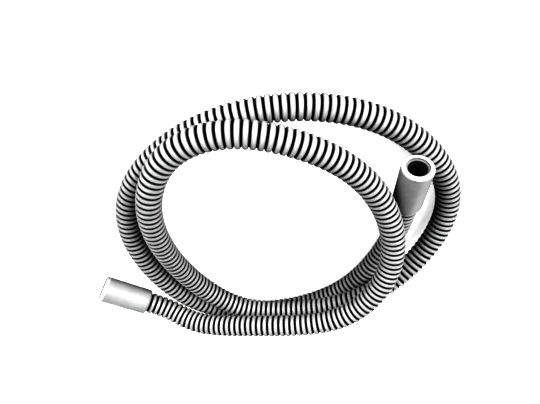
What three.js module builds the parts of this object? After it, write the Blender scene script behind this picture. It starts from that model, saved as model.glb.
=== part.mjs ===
// Dishwasher upper hose: a corrugated water hose, coiled flat, with a smooth cuff on each end.
// Lengths are in millimetres and +Z is up. The hose lies on the plane z = 0.
// The origin is under the middle of the coil.

import * as THREE from 'three';

// Hose: its wall is folded into rings, and its bore is smooth
const hoseOuterDiameter = 24;
const ringPitch = 6.46;
const ringDepth = 2.2;
const wallUnderRings = 1.3;
const hoseSides = 7;
const boreStep = 19.5;

// Cuffs: a socket for the hose behind the neck, and a bore for the spigot behind the mouth
const cuffLength = 55;
const cuffBore = 17.2;
const mouthWall = 5.9;
const neckWall = 2;
const cuffSides = 16;
const socketDepth = 17.3;
const ledgeWidth = 1.5;
const ledgeDepth = 1.7;
const rimRound = 1.5;
const neckRound = 1.6;

// Fit between the hose and its cuffs
const seatClearance = 0.3;
const socketDiameter = hoseOuterDiameter + 2 * seatClearance;

// The points that steer the hose from the pump end to the drain end, in two and a half turns.
// The first turn lies on the second, and the second passes over the end of its own loop.
const routePoints = [
  [147, 106, 17.3], [120, 122.5, 18.9], [88, 134, 38], [12, 115, 52.5], [-78, 109, 63],
  [-125, 57, 54], [-133, 0, 44], [-115, -57, 40], [-81, -103, 41], [-31, -133, 41],
  [27, -146, 38], [79, -124, 36], [104, -71, 37], [107, -14, 29], [98, 42, 19],
  [74, 95, 15], [31, 127, 24], [-26, 125, 29], [-81, 110, 37], [-130, 82, 37],
  [-171, 47, 22], [-193, -1, 12], [-185, -55, 12], [-152, -100, 12], [-107, -132, 12],
  [-55, -147, 12], [1, -147, 12], [53, -131, 12], [99, -100, 12], [132, -55, 12],
  [140, 0, 12], [128, 55, 12], [103, 105, 12], [62, 140, 12], [8, 150, 12],
  [-48, 140, 12], [-95, 113, 12], [-125, 66, 12], [-143, 11, 12], [-140, -43, 25],
].map(([x, y, z]) => new THREE.Vector3(x, y, z));

const up = new THREE.Vector3(0, 0, 1);
const latheAxis = new THREE.Vector3(0, 1, 0);

// A smooth route through the steering points: a uniform cubic B-spline.
// One more point is mirrored past each end, so the hose leaves both cuffs without a bend.
class HoseRoute extends THREE.Curve {
  constructor(points) {
    super();
    const first = points[0].clone().multiplyScalar(2).sub(points[1]);
    const last = points.at(-1).clone().multiplyScalar(2).sub(points.at(-2));
    this.points = [first, ...points, last];
    this.arcLengthDivisions = 60 * points.length;
  }

  getPoint(t, target = new THREE.Vector3()) {
    const spans = this.points.length - 3;
    const span = Math.min(Math.floor(t * spans), spans - 1);
    const s = t * spans - span;
    const weights = [
      (1 - s) ** 3,
      3 * s ** 3 - 6 * s ** 2 + 4,
      -3 * s ** 3 + 3 * s ** 2 + 3 * s + 1,
      s ** 3,
    ];
    target.set(0, 0, 0);
    weights.forEach((weight, i) => target.addScaledVector(this.points[span + i], weight / 6));
    return target;
  }
}

const route = new HoseRoute(routePoints);
const freeLength = route.getLength();

// The place and the direction of the hose at a distance along it. Inside a cuff it runs straight.
function stationAt(distance) {
  const along = THREE.MathUtils.clamp(distance, 0, freeLength);
  const point = route.getPointAt(along / freeLength);
  const tangent = route.getTangentAt(along / freeLength);
  point.addScaledVector(tangent, distance - along);
  return { point, tangent };
}

// Bends a straight solid, made round the Y axis, so that its axis follows the route.
// Its X direction stays level and its Z direction turns down, so the first corner of each ring
// is the lowest and carries the hose.
function bendAlongRoute(geometry) {
  const position = geometry.attributes.position;
  const vertex = new THREE.Vector3();
  for (let i = 0; i < position.count; i += 1) {
    vertex.fromBufferAttribute(position, i);
    const { point, tangent } = stationAt(vertex.y);
    const side = new THREE.Vector3().crossVectors(tangent, up).normalize();
    const rise = new THREE.Vector3().crossVectors(side, tangent);
    point.addScaledVector(side, -vertex.x).addScaledVector(rise, -vertex.z);
    position.setXYZ(i, point.x, point.y, point.z);
  }
  geometry.computeVertexNormals();
  return geometry;
}

// The closed section of the hose wall: out over the rings and back through the bore.
// Each ring rises from a root to a crest half a pitch on, and both ends stop at a root.
function hoseSection() {
  const start = seatClearance - socketDepth;
  const length = freeLength - 2 * start;
  const crest = hoseOuterDiameter / 2;
  const root = crest - ringDepth;
  const bore = root - wallUnderRings;
  const halfRings = 2 * Math.round(length / ringPitch);
  const outside = Array.from({ length: halfRings + 1 }, (_, i) => (
    new THREE.Vector2(i % 2 === 0 ? root : crest, start + (length * i) / halfRings)
  ));
  const boreSteps = Math.ceil(length / boreStep);
  const inside = Array.from({ length: boreSteps + 1 }, (_, i) => (
    new THREE.Vector2(bore, start + length - (length * i) / boreSteps)
  ));
  return [...outside, ...inside, outside[0].clone()];
}

// The closed section of a cuff, from its neck (y = 0) to its mouth (y = cuffLength).
// The hose sits in the socket behind the neck, against the step where the bore begins.
// A shallow ledge widens the bore at the mouth, and both outer edges are rounded by two flats.
function cuffSection() {
  const socket = socketDiameter / 2;
  const neck = socket + neckWall;
  const bore = cuffBore / 2;
  const mouth = bore + mouthWall;
  const ledge = bore + ledgeWidth;
  const neckEdge = Math.min(neckRound, 0.8 * neckWall);
  const roundCut = 1 - Math.SQRT1_2;
  return [
    [socket, 0],
    [neck - neckEdge, 0],
    [neck - neckEdge * roundCut, neckEdge * roundCut],
    [neck, neckEdge],
    [mouth, cuffLength - rimRound],
    [mouth - rimRound * roundCut, cuffLength - rimRound * roundCut],
    [mouth - rimRound, cuffLength],
    [ledge, cuffLength],
    [ledge, cuffLength - ledgeDepth],
    [bore, cuffLength - ledgeDepth],
    [bore, socketDepth],
    [socket, socketDepth],
    [socket, 0],
  ].map(([radius, y]) => new THREE.Vector2(radius, y));
}

const hosePlastic = new THREE.MeshStandardMaterial({ color: 0xb2b3b4, roughness: 0.42, metalness: 0 });
const pumpCuffRubber = new THREE.MeshStandardMaterial({ color: 0x9fa0a0, roughness: 0.5, metalness: 0 });
const drainCuffRubber = new THREE.MeshStandardMaterial({ color: 0x989999, roughness: 0.5, metalness: 0 });

function makeHose() {
  const geometry = bendAlongRoute(new THREE.LatheGeometry(hoseSection(), hoseSides));
  const hose = new THREE.Mesh(geometry, hosePlastic);
  hose.name = 'corrugated_hose';
  return hose;
}

// A cuff on the hose at a distance along it, pointing away from the hose.
function makeCuff(name, material, distance, facing) {
  const cuff = new THREE.Mesh(new THREE.LatheGeometry(cuffSection(), cuffSides), material);
  const { point, tangent } = stationAt(distance);
  cuff.name = name;
  cuff.position.copy(point);
  cuff.quaternion.setFromUnitVectors(latheAxis, tangent.multiplyScalar(facing));
  return cuff;
}

const dishwasherHose = new THREE.Group();
dishwasherHose.add(makeHose());
dishwasherHose.add(makeCuff('pump_cuff', pumpCuffRubber, 0, -1));
dishwasherHose.add(makeCuff('drain_cuff', drainCuffRubber, freeLength, 1));

export default dishwasherHose;
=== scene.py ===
"""A dishwasher upper hose, lying in a loose flat coil, with a smooth cuff pushed on each end.

The wall of the hose is folded into narrow rings. It is a turned profile that is carried along the
route on which the hose lies, and each cuff is a turned profile on the straight end of that route.
Every shape is in metres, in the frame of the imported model, with +Z up.
"""

import logging
import math
from dataclasses import dataclass, field
from enum import Enum

import bpy
import numpy as np
from mathutils import Matrix, Vector


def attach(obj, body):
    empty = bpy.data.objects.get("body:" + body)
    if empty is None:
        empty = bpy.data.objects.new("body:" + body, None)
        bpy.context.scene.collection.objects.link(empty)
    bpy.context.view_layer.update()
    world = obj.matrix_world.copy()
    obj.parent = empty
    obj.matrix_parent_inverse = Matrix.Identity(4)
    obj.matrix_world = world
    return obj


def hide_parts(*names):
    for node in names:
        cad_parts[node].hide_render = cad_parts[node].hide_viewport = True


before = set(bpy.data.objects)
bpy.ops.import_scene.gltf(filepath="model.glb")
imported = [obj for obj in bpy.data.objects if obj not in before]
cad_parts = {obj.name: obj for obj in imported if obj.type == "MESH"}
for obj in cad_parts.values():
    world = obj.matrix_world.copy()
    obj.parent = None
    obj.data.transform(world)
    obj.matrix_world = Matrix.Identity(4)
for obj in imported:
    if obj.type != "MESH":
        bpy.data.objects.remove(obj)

MM = 0.001
PHOTO_WIDTH = 540

# Nearly all of a noise texture's values lie between these two.
NOISE_LOW = 0.3
NOISE_HIGH = 0.7

# Edges at which a wall turns by more than this stay sharp.
SHARP_TURN = math.radians(50)

# The points that steer the hose from the pump end to the drain end, in millimetres.
ROUTE_POINTS = (
    (147, 106, 17.3), (120, 122.5, 18.9), (88, 134, 38), (12, 115, 52.5), (-78, 109, 63),
    (-125, 57, 54), (-133, 0, 44), (-115, -57, 40), (-81, -103, 41), (-31, -133, 41),
    (27, -146, 38), (79, -124, 36), (104, -71, 37), (107, -14, 29), (98, 42, 19),
    (74, 95, 15), (31, 127, 24), (-26, 125, 29), (-81, 110, 37), (-130, 82, 37),
    (-171, 47, 22), (-193, -1, 12), (-185, -55, 12), (-152, -100, 12), (-107, -132, 12),
    (-55, -147, 12), (1, -147, 12), (53, -131, 12), (99, -100, 12), (132, -55, 12),
    (140, 0, 12), (128, 55, 12), (103, 105, 12), (62, 140, 12), (8, 150, 12),
    (-48, 140, 12), (-95, 113, 12), (-125, 66, 12), (-143, 11, 12), (-140, -43, 25),
)

log = logging.getLogger("dishwasher_hose")


class HoseEnd(Enum):
    """The two ends of the hose."""

    PUMP = "pump"
    DRAIN = "drain"


def linear(hex_colour: str) -> tuple[float, float, float, float]:
    """Turn an sRGB hex colour into linear light.

    Args:
        hex_colour: Six hex digits, such as "c9cacb".

    Returns:
        The linear red, green and blue, and an alpha of 1.
    """
    channels = (int(hex_colour[i : i + 2], 16) / 255 for i in (0, 2, 4))
    red, green, blue = (c / 12.92 if c <= 0.04045 else ((c + 0.055) / 1.055) ** 2.4 for c in channels)
    return red, green, blue, 1.0


def add_node(
    tree: bpy.types.NodeTree,
    kind: str,
    settings: dict[str, object] | None = None,
    links: dict[str | int, bpy.types.NodeSocket] | None = None,
) -> bpy.types.Node:
    """Add one node to a tree.

    Args:
        tree: The tree that gets the node.
        kind: The node's type, such as "ShaderNodeMath".
        settings: Values by name: of an input where the node has one of that name, or of a property.
        links: Output sockets by the name of the input that they feed, or by its number where several
            inputs share a name.

    Returns:
        The new node.
    """
    node = tree.nodes.new(kind)
    for name, value in (settings or {}).items():
        if name in node.inputs:
            node.inputs[name].default_value = value
        else:
            setattr(node, name, value)
    for key, socket in (links or {}).items():
        tree.links.new(socket, node.inputs[key])
    return node


def new_material(name: str) -> tuple[bpy.types.Material, bpy.types.NodeTree]:
    """Make an empty node material.

    Args:
        name: The material's name.

    Returns:
        The material and its node tree.
    """
    material = bpy.data.materials.new(name)
    material.use_nodes = True
    material.node_tree.nodes.clear()
    return material, material.node_tree


@dataclass(frozen=True)
class RingedPolypropylene:
    """Blow-moulded polypropylene of the hose: pale satin rings, with painted shade in the grooves."""

    crest_colour: str = "b5b5b5"
    mottle_colour: str = "ababab"
    # The groove colour is a painted shade, near black, for the shade deep in the narrow grooves.
    groove_shade_colour: str = "161616"
    roughness: float = 0.4
    ior: float = 1.49
    crest_sheen: float = 0.3
    mottle_size: float = 9 * MM
    grain_size: float = 0.5 * MM
    grain_depth: float = 0.03 * MM

    def material(self) -> bpy.types.Material:
        """Make the material.

        The attribute "groove" is 0 on a crest and 1 on the floor of a groove. With it the colour goes
        from the crest's to the groove's near-black painted shade, and the sheen fades to nothing. A
        soft mottle varies the crest's lightness, and a fine grain breaks up its highlights. The grain is
        drawn coarser than the mould's own, which is too fine to show.

        Returns:
            The material.
        """
        material, tree = new_material("ringed_polypropylene")
        place = add_node(tree, "ShaderNodeTexCoord").outputs["Object"]
        groove = add_node(tree, "ShaderNodeAttribute", {"attribute_name": "groove"}).outputs["Fac"]
        mottle = add_node(tree, "ShaderNodeTexNoise", {"Scale": 1 / self.mottle_size}, {"Vector": place})
        crest = add_node(tree, "ShaderNodeValToRGB", links={"Fac": mottle.outputs["Fac"]})
        stops = ((NOISE_LOW, self.mottle_colour), (NOISE_HIGH, self.crest_colour))
        for element, (position, colour) in zip(crest.color_ramp.elements, stops):
            element.position = position
            element.color = linear(colour)
        # Painted shade: the colour goes towards the near-black groove colour as the attribute rises.
        ringed = add_node(
            tree,
            "ShaderNodeMix",
            {"data_type": "RGBA", "B": linear(self.groove_shade_colour)},
            {"Factor": groove, "A": crest.outputs["Color"]},
        )
        sheen = add_node(
            tree, "ShaderNodeMapRange", {"To Min": self.crest_sheen, "To Max": 0.0}, {"Value": groove}
        )
        grain = add_node(tree, "ShaderNodeTexNoise", {"Scale": 1 / self.grain_size}, {"Vector": place})
        bump = add_node(
            tree, "ShaderNodeBump", {"Distance": self.grain_depth}, {"Height": grain.outputs["Fac"]}
        )
        shader = add_node(
            tree,
            "ShaderNodeBsdfPrincipled",
            {"Roughness": self.roughness, "IOR": self.ior},
            {
                "Base Color": ringed.outputs["Result"],
                "Specular IOR Level": sheen.outputs["Result"],
                "Normal": bump.outputs["Normal"],
            },
        )
        add_node(tree, "ShaderNodeOutputMaterial", links={"Surface": shader.outputs["BSDF"]})
        return material


@dataclass(frozen=True)
class MouldedRubber:
    """Compression-moulded rubber of a cuff: smooth, with a broad soft sheen and a faint bloom.

    The rim gets a painted highlight, and the bore gets painted shade.
    """

    name: str
    body_colour: str
    bloom_colour: str
    rim_highlight_colour: str
    bore_shade_colour: str = "4c4c4c"
    roughness: float = 0.48
    ior: float = 1.52
    bloom_size: float = 14 * MM
    bloom_spread: float = 0.2
    grain_size: float = 0.6 * MM
    grain_depth: float = 0.02 * MM

    def material(self) -> bpy.types.Material:
        """Make the material.

        The attribute "tone" is 0 in the bore, 0.5 on the body and near 1 on the rim, so the bore gets
        painted shade and the rim a painted highlight. A soft bloom adds to it, from minus to plus half
        its spread, and a ramp turns the sum into the colour. The grain is drawn coarser than the
        mould's own, which is too fine to show.

        Returns:
            The material.
        """
        material, tree = new_material(self.name)
        place = add_node(tree, "ShaderNodeTexCoord").outputs["Object"]
        tone = add_node(tree, "ShaderNodeAttribute", {"attribute_name": "tone"}).outputs["Fac"]
        noise = add_node(tree, "ShaderNodeTexNoise", {"Scale": 1 / self.bloom_size}, {"Vector": place})
        half = self.bloom_spread / 2
        bloom = add_node(
            tree,
            "ShaderNodeMapRange",
            {"From Min": NOISE_LOW, "From Max": NOISE_HIGH, "To Min": -half, "To Max": half},
            {"Value": noise.outputs["Fac"]},
        )
        bloomed = add_node(
            tree, "ShaderNodeMath", {"operation": "ADD"}, {0: tone, 1: bloom.outputs["Result"]}
        )
        ramp = add_node(tree, "ShaderNodeValToRGB", links={"Fac": bloomed.outputs["Value"]})
        # The bore's colour is painted shade, and the rim's is a painted highlight.
        stops = (
            (0.1, self.bore_shade_colour),
            (0.4, self.body_colour),
            (0.6, self.bloom_colour),
            (0.9, self.rim_highlight_colour),
        )
        while len(ramp.color_ramp.elements) < len(stops):
            ramp.color_ramp.elements.new(0.5)
        for element, (position, colour) in zip(ramp.color_ramp.elements, stops):
            element.position = position
            element.color = linear(colour)
        grain = add_node(tree, "ShaderNodeTexNoise", {"Scale": 1 / self.grain_size}, {"Vector": place})
        bump = add_node(
            tree, "ShaderNodeBump", {"Distance": self.grain_depth}, {"Height": grain.outputs["Fac"]}
        )
        shader = add_node(
            tree,
            "ShaderNodeBsdfPrincipled",
            {"Roughness": self.roughness, "IOR": self.ior},
            {"Base Color": ramp.outputs["Color"], "Normal": bump.outputs["Normal"]},
        )
        add_node(tree, "ShaderNodeOutputMaterial", links={"Surface": shader.outputs["BSDF"]})
        return material


@dataclass(frozen=True)
class HoseRoute:
    """The line on which the hose lies: a uniform cubic B-spline through steering points.

    One more point is mirrored past each end, so the curve starts and ends on a steering point, and
    the hose runs straight on beyond both ends.
    """

    points: tuple[tuple[float, float, float], ...] = ROUTE_POINTS
    samples_per_span: int = 60

    def control_points(self) -> np.ndarray:
        """Return the steering points in metres, with the two mirrored ones."""
        points = np.array(self.points, float) * MM
        first = 2 * points[0] - points[1]
        last = 2 * points[-1] - points[-2]
        return np.vstack((first, points, last))

    def curve(self, t: np.ndarray) -> tuple[np.ndarray, np.ndarray]:
        """Evaluate the curve.

        Each span blends four control points by the weights (1-s)^3, 3s^3-6s^2+4, -3s^3+3s^2+3s+1
        and s^3, over six, where s is the place in the span from 0 to 1.

        Args:
            t: Places along the curve, from 0 to the number of spans.

        Returns:
            The points, and the unit tangents there.
        """
        points = self.control_points()
        span = np.clip(np.floor(t).astype(int), 0, len(points) - 4)
        s = (t - span)[:, None]
        weights = ((1 - s) ** 3, 3 * s**3 - 6 * s**2 + 4, -3 * s**3 + 3 * s**2 + 3 * s + 1, s**3)
        slopes = (-3 * (1 - s) ** 2, 9 * s**2 - 12 * s, -9 * s**2 + 6 * s + 3, 3 * s**2)
        place = sum(w * points[span + i] for i, w in enumerate(weights)) / 6
        tangent = sum(w * points[span + i] for i, w in enumerate(slopes))
        return place, tangent / np.linalg.norm(tangent, axis=1, keepdims=True)

    def lengths(self) -> tuple[np.ndarray, np.ndarray]:
        """Measure the curve.

        Returns:
            Places along the curve, and the distance run at each.
        """
        spans = len(self.points) - 1
        t = np.linspace(0, spans, spans * self.samples_per_span + 1)
        steps = np.linalg.norm(np.diff(self.curve(t)[0], axis=0), axis=1)
        return t, np.concatenate(((0.0,), np.cumsum(steps)))

    def length(self) -> float:
        """Return the length of the hose between its two cuffs."""
        return float(self.lengths()[1][-1])

    def stations(self, distance: np.ndarray) -> tuple[np.ndarray, np.ndarray, np.ndarray, np.ndarray]:
        """Find the frame of the hose at distances along it, straight beyond both ends.

        Args:
            distance: Distances from the pump cuff's neck, in metres.

        Returns:
            The points, the tangents, the level sideways directions and the directions across both.
        """
        t, run = self.lengths()
        along = np.clip(distance, 0, run[-1])
        point, tangent = self.curve(np.interp(along, run, t))
        point = point + (distance - along)[:, None] * tangent
        side = np.cross(tangent, (0.0, 0.0, 1.0))
        side /= np.linalg.norm(side, axis=1, keepdims=True)
        return point, tangent, side, np.cross(side, tangent)


def turned_wall(
    name: str, route: HoseRoute, distance: np.ndarray, radius: np.ndarray, sides: int
) -> bpy.types.Object:
    """Turn a closed profile round the route and make it a mesh.

    A vertex lies at its station's point, plus the radius times the cosine of its angle along the
    side direction and times the sine along the direction across. The profile closes on itself and
    runs forward on the outside, so every face points out.

    Args:
        name: The object's name.
        route: The line that the wall follows.
        distance: The profile's distances along the route.
        radius: The profile's radii.
        sides: How many sides a turn has.

    Returns:
        The object, at the origin, with its place in its mesh.
    """
    point, _, side, rise = route.stations(distance)
    angle = np.arange(sides) * (2 * math.pi / sides)
    spoke = np.cos(angle)[None, :, None] * side[:, None, :] + np.sin(angle)[None, :, None] * rise[:, None, :]
    vertices = (point[:, None, :] + radius[:, None, None] * spoke).reshape(-1, 3)
    row = np.arange(len(distance))[:, None] * sides
    next_row = np.roll(row, -1, axis=0)
    column = np.arange(sides)[None, :]
    next_column = np.roll(column, -1, axis=1)
    faces = np.stack((row + column, next_row + column, next_row + next_column, row + next_column), axis=-1)
    mesh = bpy.data.meshes.new(name)
    mesh.from_pydata(vertices.tolist(), [], faces.reshape(-1, 4).tolist())
    mesh.shade_smooth()
    mesh.set_sharp_from_angle(angle=SHARP_TURN)
    piece = bpy.data.objects.new(name, mesh)
    bpy.context.collection.objects.link(piece)
    return piece


def mark(piece: bpy.types.Object, name: str, values: np.ndarray) -> None:
    """Store one number for each vertex of a piece, for its material to read.

    Args:
        piece: The piece.
        name: The attribute's name.
        values: The numbers, in the order of the vertices.
    """
    attribute = piece.data.attributes.new(name, "FLOAT", "POINT")
    attribute.data.foreach_set("value", values.astype(np.float32))


def arc(
    centre: tuple[float, float], radius: float, start: float, end: float, steps: int
) -> list[tuple[float, float]]:
    """Work out points on an arc of a profile.

    A point lies at the centre, plus the arc's radius times the cosine of its angle along the
    distance and times the sine along the profile's radius.

    Args:
        centre: The arc's centre.
        radius: The arc's radius.
        start: The start angle in degrees, from the distance direction towards a larger radius.
        end: The end angle in degrees.
        steps: How many steps the arc has.

    Returns:
        The points as (distance, radius), both ends included.
    """
    angles = np.radians(np.linspace(start, end, steps + 1))
    return [(centre[0] + radius * math.cos(a), centre[1] + radius * math.sin(a)) for a in angles]


@dataclass
class CorrugatedHose:
    """The hose: one tube with its wall folded into rings."""

    route: HoseRoute
    outer_diameter: float = 24 * MM
    bore: float = 17 * MM
    ring_pitch: float = 6.46 * MM
    groove_depth: float = 2.2 * MM
    seated_length: float = 17.0 * MM
    sides: int = 28
    rings_per_bore_step: int = 3
    finish: RingedPolypropylene = field(default_factory=RingedPolypropylene)

    # One ring, from the middle of one groove to the middle of the next: place in the pitch, share of
    # the depth, and how much painted shade the wall gets there, for the shade deep in the groove.
    fold: tuple[tuple[float, float, float], ...] = (
        (0.1, 1.0, 1.0), (0.13, 0.58, 0.9), (0.195, 0.28, 0.36), (0.33, 0.09, 0.03), (0.5, 0.0, 0.0),
        (0.67, 0.09, 0.03), (0.805, 0.28, 0.36), (0.87, 0.58, 0.9), (0.9, 1.0, 1.0),
    )

    def ring_count(self) -> int:
        """Return the number of rings on the whole tube, seated ends included."""
        return round((self.route.length() + 2 * self.seated_length) / self.ring_pitch)

    def wall(self) -> tuple[np.ndarray, np.ndarray, np.ndarray]:
        """Work out the closed profile of the wall.

        The outside repeats one fold for each ring, and the bore runs back smooth inside it.

        Returns:
            The distances, the radii, and how much painted groove shade each point gets, from 0 to 1.
        """
        start = -self.seated_length
        end = self.route.length() + self.seated_length
        rings = self.ring_count()
        pitch = (end - start) / rings
        place, depth, painted_shade = np.array(self.fold).T
        outside = (start + (np.arange(rings)[:, None] + place[None, :]) * pitch).ravel()
        radii = self.outer_diameter / 2 - np.tile(depth, rings) * self.groove_depth
        bore_steps = math.ceil(rings / self.rings_per_bore_step)
        inside = np.linspace(outside[-1], outside[0], bore_steps + 1)
        distance = np.concatenate((outside, inside))
        radius = np.concatenate((radii, np.full(len(inside), self.bore / 2)))
        return distance, radius, np.concatenate((np.tile(painted_shade, rings), np.ones(len(inside))))

    def build(self) -> bpy.types.Object:
        """Build the hose and mark how much painted groove shade each vertex gets.

        Returns:
            The hose.
        """
        distance, radius, painted_shade = self.wall()
        hose = turned_wall("hose_rings", self.route, distance, radius, self.sides)
        # The attribute carries the painted shade: some on the walls, all of it on groove floors and in the
        # bore.
        mark(hose, "groove", np.repeat(painted_shade, self.sides))
        hose.data.materials.append(self.finish.material())
        return hose

    def centreline(self) -> np.ndarray:
        """Return points on the middle of the hose, one for each ring."""
        start = -self.seated_length
        end = self.route.length() + self.seated_length
        return self.route.stations(np.linspace(start, end, self.ring_count() + 1))[0]


@dataclass(frozen=True)
class ToneSpot:
    """A small round spot on the outside of a cuff that lowers or raises its tone."""

    from_neck: float
    degrees_round: float
    radius: float
    added_tone: float


@dataclass
class PushOnCuff:
    """A smooth sleeve on one end of the hose, which pushes onto a spigot."""

    route: HoseRoute
    end: HoseEnd
    finish: MouldedRubber
    length: float = 55 * MM
    mouth_diameter: float = 29 * MM
    neck_diameter: float = 28.6 * MM
    bore: float = 17.2 * MM
    ledge_diameter: float = 20.2 * MM
    ledge_depth: float = 1.7 * MM
    socket_diameter: float = 24.6 * MM
    socket_depth: float = 17.3 * MM
    rim_round: float = 1.6 * MM
    neck_round: float = 1.7 * MM
    edge_round: float = 0.35 * MM
    # How far the rim's painted highlight reaches onto the body, and over how much it fades in.
    painted_highlight_band: float = 0.6 * MM
    band_fade: float = 1.5 * MM
    body_steps: int = 40
    sides: int = 96
    tone_spots: tuple[ToneSpot, ...] = ()

    # The tone of each surface, as the finish reads it. The rim's tone is a painted highlight and the
    # ledge's and the bore's are painted shade; the face's is a painted highlight by default and
    # painted shade on the pump cuff.
    body_tone: float = 0.5
    rim_highlight_tone: float = 0.95
    painted_face_tone: float = 0.95
    ledge_shade_tone: float = 0.33
    bore_shade_tone: float = 0.0

    def profile(self) -> np.ndarray:
        """Work out the closed profile, from the neck to the mouth and back through the bore.

        Straight runs join arcs: at the neck's edge, at the rim, and at both edges of the ledge that
        widens the mouth. The body's tone fades into the rim's painted highlight over the start of the
        pale band of painted highlight.

        Returns:
            Rows of distance from the neck, radius and tone.
        """
        neck = self.neck_diameter / 2
        mouth = self.mouth_diameter / 2
        bore = self.bore / 2
        ledge = self.ledge_diameter / 2
        socket = self.socket_diameter / 2
        rim, edge, fine = self.rim_round, self.neck_round, self.edge_round
        step = self.length - self.ledge_depth
        body_end = self.length - rim - self.painted_highlight_band
        body = np.linspace(edge, body_end, self.body_steps + 1)[1:]
        rim_centre = (self.length - rim, mouth - rim)
        runs = (
            (self.body_tone, [(0.0, socket)]),
            (self.body_tone, arc((edge, neck - edge), edge, start=180, end=90, steps=8)),
            (self.body_tone, [(x, neck + (mouth - neck) * x / body_end) for x in body]),
            # The rim and, by default, the face get a painted highlight; the ledge and the bore get painted
            # shade.
            (self.rim_highlight_tone, [(min(body_end + self.band_fade, self.length - rim), mouth)]),
            (self.rim_highlight_tone, arc(rim_centre, rim, start=90, end=45, steps=4)),
            (self.painted_face_tone, arc(rim_centre, rim, start=30, end=0, steps=3)),
            (self.painted_face_tone, [(self.length, ledge + fine)]),
            (self.ledge_shade_tone, arc((self.length - fine, ledge + fine), fine, start=-30, end=-90, steps=3)),
            (self.ledge_shade_tone, [(step + fine, ledge), (step, ledge)]),
            (self.ledge_shade_tone, arc((step - fine, bore + fine), fine, start=0, end=-45, steps=2)),
            (self.bore_shade_tone, [(step - 2 * fine, bore), (self.socket_depth, bore)]),
            (self.bore_shade_tone, [(self.socket_depth, socket)]),
        )
        return np.array([(x, radius, tone) for tone, run in runs for x, radius in run])

    def spot_tones(self, distance: np.ndarray, radius: np.ndarray) -> np.ndarray:
        """Work out what the small round spots add to the tone.

        Each mark fades with the square of the distance from its middle over its own radius, as
        exp(-square), and it lies on the outside only.

        Args:
            distance: The profile's distances from the neck.
            radius: The profile's radii.

        Returns:
            One number for each point of the profile, by each side of the turn.
        """
        tones = np.zeros((len(distance), self.sides))
        angle = np.arange(self.sides) * 2 * math.pi / self.sides
        outside = radius > self.ledge_diameter / 2 + self.edge_round
        for spot in self.tone_spots:
            half_turn = (angle[None, :] - math.radians(spot.degrees_round)) / 2
            across = radius[:, None] * np.sin(half_turn) * 2
            square = ((distance[:, None] - spot.from_neck) ** 2 + across**2) / spot.radius**2
            tones += spot.added_tone * np.exp(-square) * outside[:, None]
        return tones

    def build(self) -> bpy.types.Object:
        """Build the cuff on its end of the hose.

        Returns:
            The cuff.
        """
        distance, radius, tone = self.profile().T
        tones = tone[:, None] + self.spot_tones(distance, radius)
        if self.end is HoseEnd.PUMP:
            distance, radius, tones = -distance[::-1], radius[::-1], tones[::-1]
        else:
            distance = self.route.length() + distance
        cuff = turned_wall(f"{self.end.value}_cuff_sleeve", self.route, distance, radius, self.sides)
        mark(cuff, "tone", tones.ravel())
        cuff.data.materials.append(self.finish.material())
        return cuff


@dataclass
class PhotoCamera:
    """The camera that took the photograph: above the near side of the coil, and upside down."""

    looks_at: tuple[float, float, float] = (-8.71 * MM, -31.5 * MM, 0.0)
    distance: float = 424.7 * MM
    pitch: float = math.radians(47.69)
    roll: float = math.radians(3.30)
    focal_pixels: float = 413.4
    sensor_width: float = 36.0
    nearest: float = 10 * MM

    def build(self) -> bpy.types.Object:
        """Make the camera and make it the scene's own.

        The camera looks down along +Y. Its right and down directions are turned by the roll, and it
        stands on its head, so its own X axis is the left one and its own Y axis is the down one.

        Returns:
            The camera.
        """
        forward = Vector((0, math.cos(self.pitch), -math.sin(self.pitch)))
        level = Vector((1, 0, 0))
        down = Vector((0, -math.sin(self.pitch), -math.cos(self.pitch)))
        right = math.cos(self.roll) * level + math.sin(self.roll) * down
        below = math.cos(self.roll) * down - math.sin(self.roll) * level
        data = bpy.data.cameras.new("photo_camera")
        data.sensor_fit = "HORIZONTAL"
        data.sensor_width = self.sensor_width
        data.lens = self.focal_pixels * self.sensor_width / PHOTO_WIDTH
        data.clip_start = self.nearest
        camera = bpy.data.objects.new("photo_camera", data)
        bpy.context.collection.objects.link(camera)
        axes = Matrix((-right, below, -forward)).transposed()
        place = Vector(self.looks_at) - self.distance * forward
        camera.matrix_world = Matrix.Translation(place) @ axes.to_4x4()
        bpy.context.scene.camera = camera
        return camera


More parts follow.
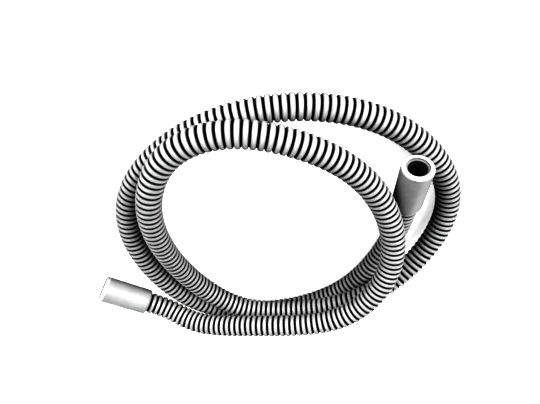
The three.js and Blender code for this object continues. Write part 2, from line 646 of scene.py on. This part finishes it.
@dataclass
class SoftStudio:
    """A plain white floor and surround, lit by square soft boxes that stand mostly on the near side."""

    floor_size: float = 2.4
    floor_white: float = 0.9
    floor_bounce: float = 0.0
    floor_lift: float = 0.39
    floor_roughness: float = 0.9
    glow_colour: str = "ffffff"
    surround_colour: str = "ffffff"
    surround_strength: float = 1.2
    box_distance: float = 1.6
    box_size: float = 1.0
    contrast_look: str = "Very High Contrast"
    display_gamma: float = 0.6

    # Each soft box: its name, azimuth from the camera's side, elevation in degrees, power in watts.
    soft_boxes: tuple[tuple[str, float, float, float], ...] = (
        ("near_right_low_box", 45, 12, 28),
        ("near_left_middle_box", 315, 30, 20),
        ("near_low_box", 0, 12, 9),
        ("near_left_high_box", 315, 55, 6),
        ("left_middle_box", 270, 30, 3),
        ("far_left_low_box", 225, 12, 6.5),
        ("far_right_low_box", 135, 12, 6.5),
        ("far_high_box", 180, 45, 4),
    )

    def build_floor(self) -> bpy.types.Object:
        """Make the floor under the hose.

        The paper looks white, with its shadows lifted by a faint glow, but it throws no light back up
        under the hose. It ends while it is still white, so no horizon shows.

        Returns:
            The floor.
        """
        half = self.floor_size / 2
        mesh = bpy.data.meshes.new("studio_floor")
        mesh.from_pydata(
            [(-half, -half, 0), (half, -half, 0), (half, half, 0), (-half, half, 0)], [], [(0, 1, 2, 3)]
        )
        floor = bpy.data.objects.new("studio_floor", mesh)
        bpy.context.collection.objects.link(floor)
        material, tree = new_material("studio_paper")
        seen = add_node(tree, "ShaderNodeLightPath").outputs["Is Camera Ray"]
        paleness = add_node(
            tree,
            "ShaderNodeMapRange",
            {"To Min": self.floor_bounce, "To Max": self.floor_white},
            {"Value": seen},
        )
        lift = add_node(
            tree, "ShaderNodeMapRange", {"To Min": 0.0, "To Max": self.floor_lift}, {"Value": seen}
        )
        shader = add_node(
            tree,
            "ShaderNodeBsdfPrincipled",
            {"Roughness": self.floor_roughness, "Emission Color": linear(self.glow_colour)},
            {"Base Color": paleness.outputs["Result"], "Emission Strength": lift.outputs["Result"]},
        )
        add_node(tree, "ShaderNodeOutputMaterial", links={"Surface": shader.outputs["BSDF"]})
        mesh.materials.append(material)
        return floor

    def add_soft_box(self, name: str, azimuth: float, elevation: float, energy: float) -> bpy.types.Object:
        """Add one square soft box that looks at the origin from the boxes' distance.

        Args:
            name: The light's name, which says where it stands as seen from the camera's side.
            azimuth: Its direction in degrees, from -Y towards +X.
            elevation: Its height in degrees above the floor.
            energy: Its power in watts.

        Returns:
            The light.
        """
        around, above = math.radians(azimuth), math.radians(elevation)
        level = math.cos(above)
        way = Vector((math.sin(around) * level, -math.cos(around) * level, math.sin(above)))
        data = bpy.data.lights.new(name, "AREA")
        data.size = self.box_size
        data.energy = energy
        light = bpy.data.objects.new(name, data)
        light.location = way * self.box_distance
        light.rotation_euler = (-way).to_track_quat("-Z", "Y").to_euler()
        bpy.context.collection.objects.link(light)
        return light

    def build_surround(self) -> None:
        """Make the white surround, which is bright to look at and lights nothing by itself."""
        world = bpy.data.worlds.new("white_surround")
        world.use_nodes = True
        tree = world.node_tree
        background = tree.nodes["Background"]
        background.inputs["Color"].default_value = linear(self.surround_colour)
        seen = add_node(tree, "ShaderNodeLightPath").outputs["Is Camera Ray"]
        strength = add_node(
            tree, "ShaderNodeMapRange", {"To Min": 0.0, "To Max": self.surround_strength}, {"Value": seen}
        )
        tree.links.new(strength.outputs["Result"], background.inputs["Strength"])
        bpy.context.scene.world = world

    def build(self) -> None:
        """Make the floor, the surround and the lights, and set the print's hard contrast."""
        self.build_floor()
        self.build_surround()
        for name, azimuth, elevation, energy in self.soft_boxes:
            self.add_soft_box(name, azimuth, elevation, energy)
        view = bpy.context.scene.view_settings
        view.view_transform = "Standard"
        view.look = self.contrast_look
        view.gamma = self.display_gamma


def report(piece: bpy.types.Object) -> None:
    """Log a finished piece's name and number of faces.

    Args:
        piece: The piece.
    """
    log.info("%s: %d faces", piece.name, len(piece.data.polygons))


def main() -> None:
    """Build the camera, the hose, its cuffs and the studio, and hide the imported parts that they stand for.
    """
    logging.basicConfig(level=logging.INFO, format="%(name)s: %(message)s")
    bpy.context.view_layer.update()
    route = HoseRoute()

    PhotoCamera().build()
    hose_maker = CorrugatedHose(route)
    hose = hose_maker.build()
    # The last colour of each finish is its rim's painted highlight.
    pump_finish = MouldedRubber("pump_cuff_rubber", "a2a2a2", "acacac", "d0d0d0")
    drain_finish = MouldedRubber("drain_cuff_rubber", "9c9c9c", "a6a6a6", "bcbcbc")
    # The pump cuff's face and ledge get painted shade, and its rim's painted highlight reaches further.
    pump_cuff = PushOnCuff(
        route, HoseEnd.PUMP, pump_finish, painted_face_tone=0.22, ledge_shade_tone=0.2, painted_highlight_band=3.4 * MM
    ).build()
    # A painted shade for a small nick just below the drain cuff's rim, and a small pale spot lower on its
    # body.
    nick_shade = ToneSpot(from_neck=52.6 * MM, degrees_round=114, radius=0.9 * MM, added_tone=-0.5)
    pale_spot = ToneSpot(from_neck=32 * MM, degrees_round=126, radius=1.3 * MM, added_tone=0.14)
    drain_cuff = PushOnCuff(route, HoseEnd.DRAIN, drain_finish, tone_spots=(nick_shade, pale_spot)).build()

    stands_for = (
        (hose, "corrugated_hose", "hose_plastic"),
        (pump_cuff, "pump_cuff", "pump_cuff_rubber"),
        (drain_cuff, "drain_cuff", "drain_cuff_rubber"),
    )
    for piece, node, slot in stands_for:
        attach(piece, "root")
        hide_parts(node)
        report(piece)
    centreline = hose_maker.centreline()
    route.stations(np.zeros(1))[0][0]

    SoftStudio().build()


if __name__ == "__main__":
    main()
